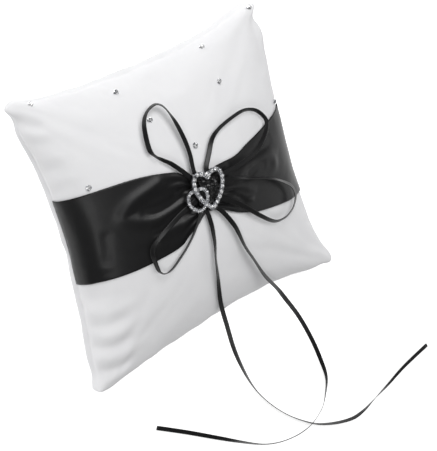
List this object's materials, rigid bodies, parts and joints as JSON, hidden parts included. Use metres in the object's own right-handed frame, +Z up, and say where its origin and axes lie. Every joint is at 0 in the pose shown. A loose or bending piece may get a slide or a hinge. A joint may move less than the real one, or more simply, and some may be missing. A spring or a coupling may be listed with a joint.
{
  "type": "ring bearer pillow",
  "caption": "Square white satin cushion with a wide black satin band, a bow of narrow black ribbon with loose tails for tying rings, and a double heart rhinestone brooch.",
  "frame": {"origin": "on the table under the middle of the cushion, which lies on its back", "axes": "+Z up out of the table through the cushion's front, +Y towards the top edge of the cushion, +X towards its right edge; the ribbon tails fall over the -Y edge"},
  "size_m": [0.2833, 0.3372, 0.0695],
  "materials": {
    "white_cover": "satin",
    "filling": "matte",
    "white_thread": "matte",
    "black_satin": "satin",
    "black_ribbon": "satin",
    "black_thread": "matte",
    "brooch_metal": "polished",
    "clear_stones": "polished"
  },
  "bodies": {
    "root": {"front_panel": "white_cover", "back_panel": "white_cover", "fibre_filling": "filling", "seam_thread": "white_thread", "closing_stitches": "white_thread", "satin_band": "black_satin", "centre_knot": "black_satin", "bow_loop_upper_left": "black_ribbon", "bow_loop_upper_right": "black_ribbon", "bow_loop_lower_left": "black_ribbon", "bow_loop_lower_right": "black_ribbon", "tail_left": "black_ribbon", "tail_right": "black_ribbon", "brooch_frame": "brooch_metal", "brooch_stitches": "black_thread", "big_heart_stones": "clear_stones", "small_heart_stones": "clear_stones", "front_stone_1": "clear_stones", "front_stone_2": "clear_stones", "front_stone_3": "clear_stones", "front_stone_4": "clear_stones", "front_stone_5": "clear_stones", "front_stone_6": "clear_stones", "front_stone_7": "clear_stones", "front_stone_8": "clear_stones", "front_stone_9": "clear_stones"}
  },
  "joints": []
}
